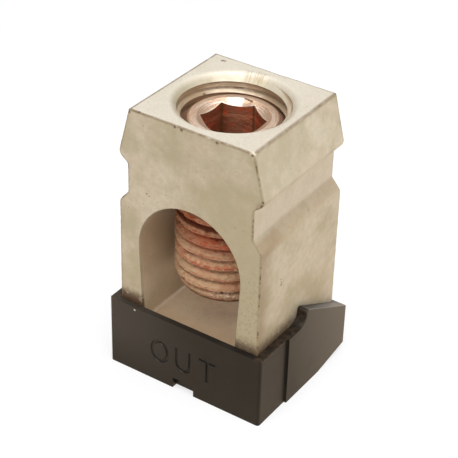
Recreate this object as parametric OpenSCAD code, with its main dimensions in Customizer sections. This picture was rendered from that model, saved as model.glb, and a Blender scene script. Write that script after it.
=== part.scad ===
// Mechanical cable lug: extruded aluminium body, hex-socket clamp screw and moulded base shoe.
// Millimetres. +Z is up, -Y is the wire side, and the screw's axis is the Z axis.
// The shoe's underside is at Z = 0.

/* [Clamp screw] */
// Outside diameter of the thread
thread_d = 18.8; // [14:0.1:24]
// Threads per inch
threads_per_inch = 12; // [10:1:20]
// Length from the tip to the driving end
screw_len = 31.2; // [26:0.1:36]
// How far the chamfer at the tip goes in
tip_chamfer = 1.1; // [0.3:0.1:2]
// Height of the chamfer at the tip
tip_chamfer_h = 2.2; // [0.5:0.1:4]
// Chamfer at the driving end
end_chamfer = 2.15; // [0.5:0.05:2.5]
// Hex socket, across its flats
hex_af = 9.5; // [5:0.1:10]
// Depth of the hex socket
hex_depth = 9; // [6:0.5:14]
// Diameter of the cone that leads into the socket
hex_lead_d = 12.4; // [12:0.1:14]
// Turn of the socket about the screw's axis
hex_turn = 25; // [0:1:59]
// Height of the tip above the floor of the wire opening
tip_gap = 6.5; // [5:0.1:10]

/* [Wire opening] */
// Thickness of the lug's floor under the wire
floor_t = 8.8; // [6:0.1:12]
// Room on each side of the screw at the widest part of the opening
opening_room = 0.75; // [0.5:0.05:2]
// How far each wall leans in between the arch and the floor
wall_taper = 0.8; // [0.2:0.05:1]
// Height of the arch's centre above the floor
arch_h = 15.2; // [12:0.1:18]

/* [Lug body] */
// Metal between the top of the arch and the flat top
roof_t = 15.05; // [13:0.05:20]
// Thickness of each side wall at the widest part of the opening
side_wall = 3.85; // [3:0.05:6]
// Room between the screw's thread and the hole it runs in
thread_room = 0.15; // [0.1:0.01:0.3]
// Width of the countersink's lip round the hole
countersink_lip = 1; // [0.5:0.05:1.2]
// Full angle of the countersink
countersink_angle = 100; // [80:1:120]
// Flat land between the countersink and each side of the top
top_land = 1.5; // [0.8:0.05:1.8]
// Metal between the countersink and each end face
end_land = 1.75; // [1:0.05:4]
// Height of the sloping head, from the shoulders to the flat top
head_h = 8.7; // [5:0.1:10]
// How far each shoulder stands out past the side wall
shoulder_out = 0.1; // [0:0.05:1]
// Drop from the shoulder to the groove under it
shoulder_drop = 1.5; // [1.2:0.1:3]
// Depth of each side groove
groove_depth = 1.75; // [0.8:0.05:2]
// Height of the groove's flat bottom
groove_h = 5.4; // [3:0.1:8]
// Height of the slope from the groove back out to the side wall
groove_ramp = 2.1; // [1.5:0.1:4]
// Radius on the shoulder and on the groove's lower lip
lip_r = 1.3; // [0.2:0.1:1.4]
// Radius in the groove's inner corners
groove_r = 0.7; // [0.2:0.1:1]

/* [Base shoe] */
// Thickness of the shoe's floor
shoe_floor_t = 2; // [1.5:0.1:4]
// Room between the shoe's walls and the lug
shoe_room = 0.1; // [0.05:0.01:0.2]
// Thickness of the side walls
shoe_side_t = 1.5; // [1:0.05:3]
// Thickness of the front wall
shoe_front_t = 1.15; // [1:0.05:3]
// Thickness of the rear wall
shoe_rear_t = 1.35; // [1:0.05:3]
// Height of the front rim above the underside
rim_h = 13.6; // [11:0.1:16]
// Radius on the front corners, seen from above
corner_r = 0.5; // [0.2:0.1:1]
// How far each latch wing stands out past the side wall
wing_out = 0.45; // [0.2:0.05:1.5]
// Distance from the front face to the wing's front edge
wing_from_front = 8; // [4:0.1:10]
// Distance from the front face to the latch's catch face
catch_from_front = 13.4; // [12:0.1:16]
// Height of the catch above the rim
catch_h = 3; // [2:0.1:5]
// Radius where the rim sweeps up into the catch
catch_sweep_r = 2.1; // [0.5:0.1:3]
// Radius on the catch's crest
crest_r = 0.5; // [0.2:0.1:0.8]
// Angle of the ramp from the catch down to the rear
ramp_angle = 27.5; // [15:0.5:30]
// Length of the lead-in under the rear
lead_in_l = 8.6; // [4:0.1:11]
// Height of the lead-in at the rear
lead_in_h = 1.4; // [0.5:0.1:1.4]
// Width of the notch under the front wall
notch_w = 4.3; // [2:0.1:8]
// Height of the notch
notch_h = 2.1; // [1:0.1:4]
// Depth of the notch from the front face
notch_d = 1.15; // [0.5:0.05:2]

/* [Hidden] */
// Rolled thread of 60 degree form, with wide flat crests and narrow roots
pitch = 25.4 / threads_per_inch;
crest_flat = 0.42 * pitch;
root_flat = 0.1 * pitch;
flank = (pitch - crest_flat - root_flat) / 2;
thread_depth = flank / tan(30);
thread_r = thread_d / 2;
root_r = thread_r - thread_depth;
hole_r = thread_r + thread_room;

// Plan sizes of the lug, worked outwards from the screw
opening_r = thread_r + opening_room;
countersink_r = thread_r + countersink_lip;
lug_w = 2 * (opening_r + side_wall);
top_w = 2 * (countersink_r + top_land);
shoulder_w = lug_w + 2 * shoulder_out;
neck_w = lug_w - 2 * groove_depth;
lug_d = 2 * (countersink_r + end_land);

// Heights, measured from the shoe's underside
foot_z = shoe_floor_t;
floor_z = foot_z + floor_t;
arch_z = floor_z + arch_h;
top_z = arch_z + opening_r + roof_t;
shoulder_z = top_z - head_h;
groove_top_z = shoulder_z - shoulder_drop;
groove_low_z = groove_top_z - groove_h;
groove_foot_z = groove_low_z - groove_ramp;
tip_z = floor_z + tip_gap;
countersink_depth = (countersink_r - hole_r) / tan(countersink_angle / 2);
hex_lead_h = (hex_lead_d - hex_af) / 2 * tan(30);

// The shoe's outline, from the lug that it holds
shoe_w = lug_w + 2 * (shoe_room + shoe_side_t);
front_y = -(lug_d / 2 + shoe_room + shoe_front_t);
rear_y = lug_d / 2 + shoe_room + shoe_rear_t;
catch_y = front_y + catch_from_front;
catch_z = rim_h + catch_h;
ramp_end_z = catch_z - (rear_y - catch_y) * tan(ramp_angle);
// The sweep into the catch takes no more than the face that the crest's own arc leaves
sweep_r = min(catch_sweep_r, catch_h - crest_r * tan(45 + ramp_angle / 2));

// Overrun of a cutter past the face that it opens
over = 1;
arc_steps = 8;
smooth = 96;

function unit(v) = v / norm(v);

// Points of an arc of radius r that rounds the corner p between its neighbours a and b
function corner_arc(a, p, b, r) =
    let (
        u = unit(a - p),
        v = unit(b - p),
        half = acos(u * v) / 2,
        centre = p + unit(u + v) * r / sin(half),
        start = p + u * r / tan(half) - centre,
        end = p + v * r / tan(half) - centre,
        from = atan2(start.y, start.x),
        turn = atan2(end.y, end.x) - from,
        sweep = turn > 180 ? turn - 360 : turn < -180 ? turn + 360 : turn,
        step = sweep / arc_steps
    )
    [for (i = [0 : arc_steps]) centre + r * [cos(from + i * step), sin(from + i * step)]];

// An outline of [point, radius] pairs with each corner rounded to its radius
function rounded(corners) =
    let (n = len(corners))
    [
        for (i = [0 : n - 1])
            let (p = corners[i][0], r = corners[i][1])
            each r > 0 ? corner_arc(corners[(i + n - 1) % n][0], p, corners[(i + 1) % n][0], r) : [p]
    ];

// Section of the lug, seen from the front: one side's corners, then the same mirrored
module lug_section() {
    side = [
        [[lug_w / 2, foot_z], 0],
        [[lug_w / 2, groove_foot_z], lip_r],
        [[neck_w / 2, groove_low_z], groove_r],
        [[neck_w / 2, groove_top_z], groove_r],
        [[shoulder_w / 2, shoulder_z], lip_r],
        [[top_w / 2, top_z], 0],
    ];
    last = len(side) - 1;
    mirrored = [for (i = [last : -1 : 0]) [[-side[i][0].x, side[i][0].y], side[i][1]]];
    polygon(rounded(concat(side, mirrored)));
}

// Wire opening, seen from the front: a round arch on walls that run tangent to it down to the floor
module opening_section() {
    corner = [opening_r - wall_taper, -arch_h];
    touch_angle = atan2(corner.y, corner.x) + acos(opening_r / norm(corner));
    touch = opening_r * [cos(touch_angle), sin(touch_angle)];
    translate([0, arch_z]) {
        intersection() {
            circle(opening_r, $fn = smooth);
            translate([-2 * opening_r, touch.y])
                square([4 * opening_r, 2 * opening_r]);
        }
        polygon([touch, corner, [-corner.x, corner.y], [-touch.x, touch.y]]);
    }
}

// Extrudes a front view through the given depth, centred on the screw's axis
module along_y(depth) {
    rotate([90, 0, 0])
        linear_extrude(depth, center = true)
            children();
}

module lug_body() {
    color([0.77, 0.72, 0.62])
        difference() {
            along_y(lug_d)
                lug_section();
            along_y(lug_d + 2 * over)
                opening_section();
            translate([0, 0, arch_z])
                cylinder(h = top_z - arch_z + over, r = hole_r, $fn = smooth);
            translate([0, 0, top_z - countersink_depth])
                cylinder(h = countersink_depth, r1 = hole_r, r2 = countersink_r, $fn = smooth);
        }
}

// Half section of the screw's blank, with its two chamfers
module screw_blank() {
    polygon([
        [0, 0],
        [thread_r - tip_chamfer, 0],
        [thread_r, tip_chamfer_h],
        [thread_r, screw_len - end_chamfer],
        [thread_r - end_chamfer, screw_len],
        [0, screw_len],
    ]);
}

// Half section of the thread, as one ridge for each pitch
module thread_ridges() {
    ridges = ceil(screw_len / pitch);
    crest_z = root_flat + flank;
    ridge = [[root_r, 0], [root_r, root_flat], [thread_r, crest_z], [thread_r, crest_z + crest_flat]];
    polygon(concat(
        [[0, 0]],
        [for (i = [0 : ridges - 1]) each [for (p = ridge) p + [0, i * pitch]]],
        [[root_r, ridges * pitch], [0, ridges * pitch]]
    ));
}

module clamp_screw() {
    color([0.7, 0.45, 0.36])
        translate([0, 0, tip_z])
            difference() {
                rotate_extrude($fn = smooth)
                    intersection() {
                        screw_blank();
                        thread_ridges();
                    }
                translate([0, 0, screw_len - hex_depth])
                    rotate(hex_turn)
                        cylinder(h = hex_depth + over, d = hex_af / cos(30), $fn = 6);
                translate([0, 0, screw_len - hex_lead_h])
                    cylinder(h = hex_lead_h, d1 = hex_af, d2 = hex_lead_d, $fn = smooth);
            }
}

// Side view of the shoe, extruded to the given width: flat rim, swept catch, ramp and lead-in
module shoe_profile(width) {
    outline = [
        [[front_y, 0], 0],
        [[rear_y - lead_in_l, 0], 0],
        [[rear_y, lead_in_h], 0],
        [[rear_y, ramp_end_z], 0],
        [[catch_y, catch_z], crest_r],
        [[catch_y, rim_h], sweep_r],
        [[front_y, rim_h], 0],
    ];
    rotate([90, 0, 90])
        linear_extrude(width, center = true)
            polygon(rounded(outline));
}

// Plan of the tray, with round front corners
module shoe_plan() {
    for (side = [-1, 1])
        translate([side * (shoe_w / 2 - corner_r), front_y + corner_r])
            circle(corner_r, $fn = smooth);
    translate([-shoe_w / 2, front_y + corner_r])
        square([shoe_w, rear_y - front_y - corner_r]);
    translate([-shoe_w / 2 + corner_r, front_y])
        square([shoe_w - 2 * corner_r, 2 * corner_r]);
}

module base_shoe() {
    pocket_w = lug_w + 2 * shoe_room;
    pocket_d = lug_d + 2 * shoe_room;
    wing_w = shoe_w + 2 * wing_out;
    wing_y = front_y + wing_from_front;
    color([0.24, 0.22, 0.2])
        difference() {
            union() {
                intersection() {
                    shoe_profile(shoe_w);
                    linear_extrude(catch_z + over)
                        shoe_plan();
                }
                intersection() {
                    shoe_profile(wing_w);
                    translate([-wing_w / 2, wing_y, 0])
                        cube([wing_w, rear_y - wing_y, catch_z + over]);
                }
            }
            translate([-pocket_w / 2, -pocket_d / 2, shoe_floor_t])
                cube([pocket_w, pocket_d, catch_z]);
            translate([-notch_w / 2, front_y - over, -over])
                cube([notch_w, notch_d + over, notch_h + over]);
        }
}

lug_body();
clamp_screw();
base_shoe();
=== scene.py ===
"""Dresses a mechanical cable lug: tin-plated body, copper-plated clamp screw and moulded base shoe."""

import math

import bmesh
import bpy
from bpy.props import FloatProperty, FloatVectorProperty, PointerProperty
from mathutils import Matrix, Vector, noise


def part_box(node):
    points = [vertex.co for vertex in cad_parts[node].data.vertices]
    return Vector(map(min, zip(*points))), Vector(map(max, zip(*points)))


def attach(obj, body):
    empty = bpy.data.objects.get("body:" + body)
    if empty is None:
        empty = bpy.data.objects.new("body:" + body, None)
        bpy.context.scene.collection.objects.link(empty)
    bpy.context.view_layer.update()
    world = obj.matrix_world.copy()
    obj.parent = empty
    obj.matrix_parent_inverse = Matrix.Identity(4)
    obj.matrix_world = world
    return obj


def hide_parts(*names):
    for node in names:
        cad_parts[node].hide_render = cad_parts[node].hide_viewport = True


bl_info = {
    "name": "Cable Lug",
    "version": (1, 0, 0),
    "blender": (4, 5, 0),
    "location": "3D View > Sidebar > Cable Lug",
    "description": "Builds a tin-plated box lug with its clamp screw, base shoe and a plain studio",
    "category": "Add Mesh",
}

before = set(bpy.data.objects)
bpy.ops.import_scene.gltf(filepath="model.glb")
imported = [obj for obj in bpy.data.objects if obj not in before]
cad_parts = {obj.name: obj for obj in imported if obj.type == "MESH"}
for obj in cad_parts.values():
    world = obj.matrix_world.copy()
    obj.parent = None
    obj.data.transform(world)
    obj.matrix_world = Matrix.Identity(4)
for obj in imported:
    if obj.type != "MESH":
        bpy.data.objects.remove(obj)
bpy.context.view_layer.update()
LUG_LOW, LUG_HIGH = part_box("lug_body")
SCREW_LOW, SCREW_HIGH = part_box("clamp_screw")
SHOE_LOW, SHOE_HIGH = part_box("base_shoe")

MM = 0.001
IMAGE_PX = 458
SENSOR_MM = 36.0
# How far a cutter runs past the face that it opens
OVER = 1.0 * MM
# Columns in one turn of a round surface
TURN_COLUMNS = 96
# Edges that turn by more than this stay sharp
SHARP_ANGLE = math.radians(32)
# A closed solid has at least this many faces
FEWEST_FACES = 6
# Points of a thread closer than this are one
MERGED = 0.001 * MM
# Least cosine between a side's normal and its mitre that an inset follows
MITRE_LIMIT = 0.3
# Least radius of an inset corner
LEAST_RADIUS = 0.02 * MM
# Longest part of the body's outline between two points
OUTLINE_STEP = 0.4 * MM
# Radius where the opening's walls meet its floor
FLOOR_CORNER = 0.6 * MM
# Way that the knocked corner of the body's top has gone, per unit of droop
KNOCKED_WAY = (-0.25, 0.35, -1)
# Unevenness of the sawn edges and of the thread's crest: coarse lumps, fine lumps, share of the fine ones
EDGE_LUMPS = (1.3 * MM, 0.45 * MM, 0.5)
CREST_LUMPS = (1.4 * MM, 0.5 * MM, 0.6)
# How far the two edges of a crest lie apart in that unevenness, and the most of it that a crest takes
CREST_EDGES_APART = 3 * MM
MOST_WANDER = 0.6
# Sizes of the nicks and pits in the thread's crest
NICK_SIZE = 0.9 * MM
PIT_SIZE = 0.35 * MM
# Steps of a cutter's softened lip
LIP_STEPS = 6
# Edges of the shoe that turn by more than this are rounded, in so many steps
MOULDED_ANGLE = math.radians(30)
MOULDED_STEPS = 3
# Half widths of the letters, as shares of their height
NARROW_LETTER = 0.36
ROUND_LETTER = 0.42
# Radius that softens the upper edges of the sunk letters
LETTER_SOFT = 0.07 * MM
# Lean of a thread's flank from the plane across its axis
FLANK_ANGLE = math.radians(30)
# Fall of the cone that leads into the hex socket
LEAD_IN_FALL = math.radians(32)
# The floor's own paint, its half width in metres, and its warm tone where a surface mirrors it
FLOOR_PAINT = (0.86, 0.86, 0.86)
FLOOR_REACH = 2.0
MIRRORED_FLOOR = (1.0, 0.8, 0.6)
# Where the countersink's cutter chattered, as an angle round the hole
CHATTER_AT = math.radians(102)
# Where the back of the tapped hole faces the camera and takes a painted highlight, as an angle round the hole
HOLE_HIGHLIGHT_AT = math.radians(125)
# Where the rim of the socket's lead-in is scarred
SCAR_AT = math.radians(99.5)
# Where a painted white glint lies on the lead-in's cone
GLINT_AT = math.radians(121)
# From the middle of a hex socket's flat to its corner
HALF_FLAT = math.radians(30)
# Nicks and burrs on the body: place and radius in millimetres
BODY_MARKS = (
    (-9.4, 10.5, 51.2, 0.4), (-9.0, 10.6, 51.2, 0.3), (-11.8, -12.1, 50.7, 0.4), (-9.9, -12.0, 51.2, 0.3),
    (-2.9, -12.1, 50.9, 0.35), (-1.6, -12.1, 50.8, 0.4), (5.1, -12.1, 50.8, 0.35), (11.6, -12.1, 50.8, 0.35),
    (13.8, -12.1, 43.2, 0.3), (13.7, -12.1, 42.3, 0.45), (13.4, -12.0, 41.8, 0.4), (13.1, -12.0, 41.5, 0.35),
    (-8.4, -12.1, 36.6, 0.2), (-7.9, -12.1, 36.3, 0.17),
    (14.0, -5.7, 24.2, 0.3), (14.0, -5.7, 24.7, 0.22), (14.0, -5.8, 25.3, 0.2),
    (-8.0, 3.3, 48.4, 0.4), (-8.8, 1.7, 49.9, 0.35),
)
# Dark pits in the screw's thread: place and radius in millimetres
SCREW_MARKS = ((3.85, -7.9, 19.6, 0.55), (3.46, -8.53, 23.96, 0.3), (-0.41, -9.19, 29.93, 0.35))
# A pale chip in the shoe's front rim: place and radius in millimetres
SHOE_MARKS = ((-10.25, SHOE_LOW.y / MM, 13.1, 0.24),)


# Settings

def length(name, description, millimetres):
    """A length in metres whose default is given in millimetres."""
    metres = millimetres * MM
    return FloatProperty(name=name, description=description, default=metres, unit="LENGTH", precision=5)


def colour(name, description, *rgb):
    """A linear colour."""
    return FloatVectorProperty(
        name=name, description=description, default=rgb, subtype="COLOR", min=0, max=1,
    )


def angle(name, description, degrees):
    """An angle in radians whose default is given in degrees."""
    return FloatProperty(name=name, description=description, default=math.radians(degrees), subtype="ANGLE")


def factor(name, description, value, top=1.0):
    """A plain number from nought up to its top."""
    return FloatProperty(name=name, description=description, default=value, min=0, max=top)


class LugSettings(bpy.types.PropertyGroup):
    """Sizes of the extruded body that its box doesn't give."""

    body_width: length("Body width", "Width across the flat sides below the grooves", 28)
    top_width: length("Top width", "Width of the flat top", 23.8)
    neck_width: length("Neck width", "Width between the side grooves", 24.5)
    shoulder_width: length("Shoulder width", "Width over the shoulders before they are rounded", 28.2)
    head_height: length("Head height", "From the shoulders up to the flat top", 8.7)
    shoulder_drop: length("Shoulder drop", "From the shoulder down to the groove", 1.5)
    groove_height: length("Groove height", "Height of the groove's flat bottom", 5.4)
    groove_ramp: length("Groove ramp", "Height of the slope from the groove back out", 2.1)
    lip_radius: length("Lip radius", "Radius on the shoulder and on the groove's lower lip", 1.3)
    groove_radius: length("Groove radius", "Radius in the groove's inner corners", 0.7)
    edge_radius: length("Edge radius", "Radius on the sawn edges", 0.18)
    edge_wander: length("Edge wander", "How far the sawn edges wander", 0.07)
    edge_band: length("Edge band", "Width of the strip beside each edge that wear follows", 0.22)
    corner_droop: length("Corner droop", "How far the front right corner of the top is knocked down", 0.45)
    floor_thickness: length("Floor thickness", "Metal under the wire", 8.8)
    arch_height: length("Arch height", "Height of the arch's centre above the floor", 15.2)
    opening_radius: length("Opening radius", "Radius of the arch", 10.15)
    wall_taper: length("Wall taper", "How far each wall leans in down to the floor", 0.8)
    thread_room: length("Thread room", "Room between the tapped thread and the screw's", 0.12)
    countersink_radius: length("Countersink radius", "Radius of the countersink at the flat top", 10.45)
    countersink_angle: angle("Countersink angle", "Full angle of the countersink's cone", 105)
    countersink_lip: length("Countersink lip", "Radius that softens the countersink's rim", 1.2)


class ScrewSettings(bpy.types.PropertyGroup):
    """Sizes of the clamp screw that its box doesn't give."""

    pitch: length("Pitch", "Advance in one turn, twelve turns to the inch", 25.4 / 12)
    thread_start: length("Thread start", "Height of a thread root at the start of its turn", 0.77)
    crest_share: factor("Crest", "Share of the pitch that is flat at the crest", 0.42)
    root_share: factor("Root", "Share of the pitch that is flat at the root", 0.1)
    crest_wander: length("Crest wander", "How far the edges of the crest wander in along the thread", 1.3)
    seam_depth: length("Seam depth", "Depth of the seam that rolling leaves along the crest", 0.07)
    tip_chamfer: length("Tip chamfer", "How far the chamfer at the tip goes in", 1.1)
    tip_height: length("Tip chamfer height", "Height of the chamfer at the tip", 2.2)
    end_chamfer: length("End chamfer", "Chamfer at the driving end", 2.15)
    hex_across: length("Hex across flats", "Hex socket across its flats", 9.5)
    hex_depth: length("Hex depth", "Depth of the hex socket", 9.0)
    hex_corner: length("Hex corner radius", "Radius in the socket's corners", 0.25)
    hex_lead: length("Hex lead-in", "Diameter of the cone that leads into the socket", 12.4)
    rim_radius: length("Rim radius", "Radius on the edges of the driving end", 0.28)
    nick_depth: length("Nick depth", "Depth of the nicks along the thread's crest", 0.3)
    hex_turn: angle("Hex turn", "Turn of the socket about the screw's axis", 25)


class ShoeSettings(bpy.types.PropertyGroup):
    """Sizes of the base shoe that its box doesn't give."""

    floor_thickness: length("Floor", "Thickness of the floor", 2.0)
    wall_room: length("Wall room", "Room between the walls and the lug", 0.1)
    side_thickness: length("Side walls", "Thickness of the side walls", 1.5)
    rim_height: length("Rim height", "Height of the front rim", 13.6)
    corner_radius: length("Corner radius", "Radius on the front corners, seen from above", 0.5)
    wing_from_front: length("Wing start", "From the front face to the wing's front edge", 8.0)
    catch_from_front: length("Catch", "From the front face to the catch face", 13.4)
    catch_height: length("Catch height", "Height of the catch above the rim", 3.0)
    catch_sweep: length("Catch sweep", "Radius where the rim sweeps up into the catch", 2.1)
    crest_radius: length("Catch crest", "Radius on the catch's crest", 0.5)
    ramp_angle: angle("Ramp angle", "Fall of the ramp from the catch to the rear", 27.5)
    lead_in_length: length("Lead-in length", "Length of the lead-in under the rear", 8.6)
    lead_in_height: length("Lead-in height", "Height of the lead-in at the rear", 1.4)
    notch_width: length("Notch width", "Width of the notch under the front wall", 4.3)
    notch_height: length("Notch height", "Height of the notch", 2.1)
    notch_depth: length("Notch depth", "Depth of the notch", 1.15)
    edge_radius: length("Edge radius", "Radius on the moulded edges", 0.22)
    letter_height: length("Letter height", "Height of the sunk letters", 4.6)
    letter_stroke: length("Letter stroke", "Width of the letters' strokes", 0.55)
    letter_depth: length("Letter depth", "Depth of the sunk letters", 0.25)
    letter_pitch: length("Letter pitch", "From one letter's middle to the next", 4.95)
    letter_base: length("Letter base", "Height of the letters' foot above the underside", 4.3)


class FinishSettings(bpy.types.PropertyGroup):
    """Colours of the finishes."""

    tin_pale: colour("Tin plate", "Clean tin plate", 0.585, 0.535, 0.425)
    tin_olive: colour("Tin plate, dull", "Duller, greener patches of the plate", 0.41, 0.37, 0.25)
    tin_rose: colour("Tin plate, rosy", "Rosy patches of the plate", 0.61, 0.52, 0.42)
    # Also painted light: the flat top's paler tone, and painted highlights where the opening's walls meet its
    # floor and at the back of the tapped hole
    clean_tin_and_light: colour("Tin plate, top", "Paler plate on the flat top", 0.815, 0.765, 0.665)
    # Partly the plate's own tone in the opening, partly painted light there and on the floor under the
    # screw's shadow
    floor_tone_and_light: colour("Tin plate, floor", "Rubbed plate on the floor of the opening", 0.88, 0.7, 0.49)
    tin_groove: colour("Tin plate, groove", "Pale plate in the side grooves", 0.64, 0.565, 0.47)
    # Also painted shade up the opening's walls, at the front of its floor and in the tapped hole
    stain_and_shade: colour("Stain", "Brown stain in the grooves and the wire opening", 0.4, 0.27, 0.15)
    rubbed: colour("Rubbed thread", "Bare metal of the tapped thread, tinged with copper", 0.8, 0.68, 0.53)
    # Also painted shade in the tapped hole
    brown_line_and_shade: colour("Burr line", "Brown line along a sawn edge", 0.23, 0.16, 0.09)
    # Also painted shade: a contact shadow at the body's foot and shadows under the tapped thread's ridges
    burr_dirt_and_shade: colour("Burr", "Dark dirt on burrs and at the foot", 0.085, 0.05, 0.027)
    copper: colour("Copper plate", "Bright copper plate", 0.97, 0.72, 0.52)
    thread: colour("Copper, thread", "Matt plate on the thread", 0.55, 0.365, 0.22)
    copper_red: colour("Copper, red", "Redder streaks of the plate", 0.5, 0.07, 0.022)
    # Also painted shade in the thread's roots and on the chamfer of the driving end
    copper_dirt_and_shade: colour("Copper, dirty", "Dirt in the thread's roots", 0.11, 0.045, 0.015)
    # Also painted shade in one groove of the thread and on the socket's side walls
    root_red_and_shade: colour("Copper, root", "Deep red in the thread's roots near the lug", 0.1, 0.018, 0.006)
    lead_in: colour("Lead-in", "Tan plate on the cone that leads into the socket", 0.55, 0.37, 0.25)
    # Also the painted white glint on the lead-in's back
    pale_metal_and_glint: colour("Burnished cone", "Bright metal where a key has rubbed the lead-in", 1.0, 0.98, 0.94)
    # Also painted highlights on the thread's crests, glints near its tip and a line round the ring
    bare_metal_and_highlight: colour("Broached edge", "Bare metal round the socket's edge", 0.85, 0.74, 0.62)
    socket: colour("Socket", "Dull plate on the socket's walls", 0.24, 0.073, 0.035)
    plastic: colour("Plastic", "Brownish black moulding", 0.006, 0.0045, 0.003)
    # Also painted light on the shoe, paler towards the left and upwards
    plastic_worn_and_lit: colour("Plastic, worn", "Paler plastic where it has rubbed", 0.08, 0.066, 0.05)
    # Painted sheen on the wings and on the ramp behind the catch
    plastic_sheen: colour("Plastic, rubbed", "Pale plastic where a bay's walls rub it", 0.16, 0.132, 0.1)


class StageSettings(bpy.types.PropertyGroup):
    """Camera and light."""

    azimuth: angle("Azimuth", "The camera's turn to the right of the front", 33.32)
    elevation: angle("Elevation", "The camera's height above the horizon", 33.35)
    roll: angle("Roll", "The camera's roll", 1.68)
    distance: length("Distance", "From the camera to the point it looks at", 252.6)
    focal_px: factor("Focal length", "Focal length in pixels of the square frame", 1493, 10000)
    look_at: FloatVectorProperty(
        name="Look at", description="The point in the middle of the frame", subtype="XYZ",
        default=(-0.16 * MM, -0.1 * MM, 26.58 * MM), unit="LENGTH",
    )
    world_strength: factor("World", "Strength of the even light from all round", 0.4, 10)
    top_watts: factor("Top lamp", "Power of the soft box overhead", 3.4, 100)
    side_watts: factor("Side lamp", "Power of the soft box on the right", 1.6, 100)
    front_watts: factor("Front lamp", "Power of the soft box in front", 0.85, 100)
    card_watts: factor("Rear card", "Power of the card that lights the opening from behind", 0.21, 100)
    floor_white: factor("Floor white", "Share of plain white in the floor as the camera sees it", 0.7)


# Outlines and meshes

def rounded_outline(corners, steps=6):
    """Points of a closed outline whose ((a, b), radius) corners are turned into arcs."""
    points = []
    count = len(corners)
    for i, (corner, radius) in enumerate(corners):
        p = Vector(corner)
        if radius <= 0:
            points.append(p)
            continue
        u = (Vector(corners[i - 1][0]) - p).normalized()
        v = (Vector(corners[(i + 1) % count][0]) - p).normalized()
        half = u.angle(v) / 2
        centre = p + (u + v).normalized() * (radius / math.sin(half))
        start = p + u * (radius / math.tan(half)) - centre
        end = p + v * (radius / math.tan(half)) - centre
        first = math.atan2(start.y, start.x)
        turn = math.remainder(math.atan2(end.y, end.x) - first, math.tau)
        for k in range(steps + 1):
            a = first + turn * k / steps
            points.append(centre + radius * Vector((math.cos(a), math.sin(a))))
    return points


def divided_outline(points, counts):
    """The same outline with each side divided into as many parts as its count says."""
    divided = []
    for i, p in enumerate(points):
        q = points[(i + 1) % len(points)]
        divided += [p.lerp(q, k / counts[i]) for k in range(counts[i])]
    return divided


def side_counts(points, longest):
    """How many parts each side of an outline needs, so that no part is longer than that."""
    lengths = [(points[(i + 1) % len(points)] - p).length for i, p in enumerate(points)]
    return [max(1, math.ceil(side / longest)) for side in lengths]


def inset_outline(points, distance):
    """An outline that runs anticlockwise, moved inwards by a distance, or outwards by a negative one."""
    moved = []
    for i, p in enumerate(points):
        before = (p - points[i - 1]).normalized()
        after = (points[(i + 1) % len(points)] - p).normalized()
        normal = Vector((-before.y, before.x))
        mitre = (normal + Vector((-after.y, after.x))).normalized()
        moved.append(p + mitre * (distance / max(mitre.dot(normal), MITRE_LIMIT)))
    return moved


def inset_corners(corners, distance):
    """Corners that run anticlockwise, moved inwards by a distance; outer radii shrink, inner ones grow."""
    points = [Vector(corner) for corner, _ in corners]
    moved = []
    for i, place in enumerate(inset_outline(points, distance)):
        before = points[i] - points[i - 1]
        after = points[(i + 1) % len(points)] - points[i]
        outer = before.cross(after) > 0
        radius = corners[i][1] - distance if outer else corners[i][1] + distance
        moved.append((tuple(place), max(radius, LEAST_RADIUS)))
    return moved


def object_from(bm, name):
    """A scene object made from a bmesh, which is freed."""
    mesh = bpy.data.meshes.new(name)
    bmesh.ops.recalc_face_normals(bm, faces=bm.faces)
    bm.to_mesh(mesh)
    bm.free()
    piece = bpy.data.objects.new(name, mesh)
    bpy.context.scene.collection.objects.link(piece)
    return piece


def skin_rings(rings, name):
    """A closed object skinned over rings of as many points each, with a flat cap at both ends."""
    bm = bmesh.new()
    loops = [[bm.verts.new(p) for p in ring] for ring in rings]
    count = len(loops[0])
    for low, high in zip(loops, loops[1:]):
        for i in range(count):
            k = (i + 1) % count
            bm.faces.new((low[i], low[k], high[k], high[i]))
    bm.faces.new(list(reversed(loops[0])))
    bm.faces.new(loops[-1])
    return object_from(bm, name)


PLACE = {
    "X": lambda p, at: Vector((at, p.x, p.y)),
    "Y": lambda p, at: Vector((p.x, at, p.y)),
    "Z": lambda p, at: Vector((p.x, p.y, at)),
}


def prism(axis, outline, stations, name):
    """A prism along an axis; a station is a place on it and how far the outline is moved inwards there."""
    rings = []
    for at, inset in stations:
        rings.append([PLACE[axis](p, at) for p in inset_outline(outline, inset)])
    return skin_rings(rings, name)


def block(low, high, name):
    """A plain rectangular cutter."""
    corners = ((low[0], low[2]), (high[0], low[2]), (high[0], high[2]), (low[0], high[2]))
    return prism("Y", [Vector(corner) for corner in corners], [(low[1], 0), (high[1], 0)], name)


def lathe(profile, name):
    """A closed solid turned about the Z axis from (radius, z) points that start and end on the axis."""
    bm = bmesh.new()
    first = bm.verts.new((0, 0, profile[0][1]))
    last = bm.verts.new((0, 0, profile[-1][1]))
    loops = []
    turns = [math.tau * i / TURN_COLUMNS for i in range(TURN_COLUMNS)]
    for radius, z in profile[1:-1]:
        loops.append([bm.verts.new((radius * math.cos(t), radius * math.sin(t), z)) for t in turns])
    for i in range(TURN_COLUMNS):
        k = (i + 1) % TURN_COLUMNS
        bm.faces.new((first, loops[0][k], loops[0][i]))
        bm.faces.new((last, loops[-1][i], loops[-1][k]))
        for low, high in zip(loops, loops[1:]):
            bm.faces.new((low[i], low[k], high[k], high[i]))
    return object_from(bm, name)


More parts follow.
